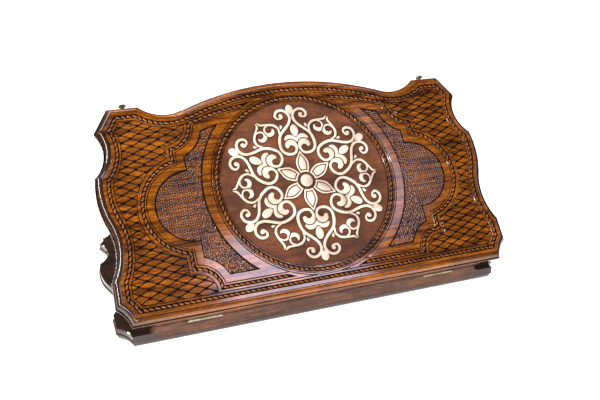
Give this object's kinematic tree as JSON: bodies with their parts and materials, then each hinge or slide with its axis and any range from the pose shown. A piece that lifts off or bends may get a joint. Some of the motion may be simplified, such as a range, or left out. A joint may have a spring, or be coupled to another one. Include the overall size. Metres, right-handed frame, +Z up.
{
  "type": "backgammon board",
  "caption": "Hinged wooden backgammon case with scalloped, carved halves, an inlaid rosette, brass hinges and hooks, and a field with checkers inside.",
  "frame": {"origin": "on the carved underside of the base, at the centre of its medallion", "axes": "+Z up, +X to the right along the hinges, +Y away from the hinges towards the hooks"},
  "size_m": [0.5986, 0.3471, 0.2888],
  "materials": {
    "carved_wood": "stained beech, carved, glossy lacquer",
    "dark_disc": "dark stained wood, satin",
    "pale_inlay": "pale maple, satin",
    "frame_wood": "stained beech, glossy lacquer",
    "field_wood": "veneered board, satin",
    "light_point": "maple veneer, satin",
    "dark_point": "wenge veneer, satin",
    "brass": "aged brass",
    "light_checker": "turned maple, waxed",
    "dark_checker": "turned walnut, waxed",
    "die": "ivory-coloured plastic, rounded"
  },
  "bodies": {
    "base": {"base_back_rail": "frame_wood", "base_dark_points": "dark_point", "base_field": "field_wood", "base_front_rail": "frame_wood", "base_hinge_screws": "brass", "base_left_end_block": "frame_wood", "base_left_rail": "frame_wood", "base_light_points": "light_point", "base_medallion_disc": "dark_disc", "base_panel": "carved_wood", "base_right_end_block": "frame_wood", "base_right_rail": "frame_wood", "base_rosette_boss": "pale_inlay", "base_rosette_fretwork": "pale_inlay", "base_rosette_palmettes": "pale_inlay", "base_rosette_petals": "pale_inlay", "dark_checkers": "dark_checker", "dice": "die", "left_hinge_base_leaf": "brass", "left_hinge_pin": "brass", "left_hook_screw": "brass", "light_checkers": "light_checker", "right_hinge_base_leaf": "brass", "right_hinge_pin": "brass", "right_hook_screw": "brass"},
    "lid": {"left_hinge_lid_leaf": "brass", "lid_back_rail": "frame_wood", "lid_dark_points": "dark_point", "lid_field": "field_wood", "lid_front_rail": "frame_wood", "lid_hinge_screws": "brass", "lid_left_end_block": "frame_wood", "lid_left_peg": "brass", "lid_left_rail": "frame_wood", "lid_light_points": "light_point", "lid_medallion_disc": "dark_disc", "lid_panel": "carved_wood", "lid_right_end_block": "frame_wood", "lid_right_peg": "brass", "lid_right_rail": "frame_wood", "lid_rosette_boss": "pale_inlay", "lid_rosette_fretwork": "pale_inlay", "lid_rosette_palmettes": "pale_inlay", "lid_rosette_petals": "pale_inlay", "right_hinge_lid_leaf": "brass"},
    "left_hook": {"left_hook": "brass"},
    "right_hook": {"right_hook": "brass"}
  },
  "joints": [
    {"name": "lid_hinge", "type": "hinge", "parent": "base", "child": "lid", "pos_m": [0, -0.1652, 0.0315], "axis": [1, 0, 0], "range_deg": [-47, 133]},
    {"name": "left_hook_turn", "type": "hinge", "parent": "base", "child": "left_hook", "pos_m": [-0.241, 0.148, 0.0176], "axis": [0, 1, 0], "range_deg": [-8, 104]},
    {"name": "right_hook_turn", "type": "hinge", "parent": "base", "child": "right_hook", "pos_m": [0.241, 0.148, 0.0176], "axis": [0, -1, 0], "range_deg": [-8, 104]}
  ]
}
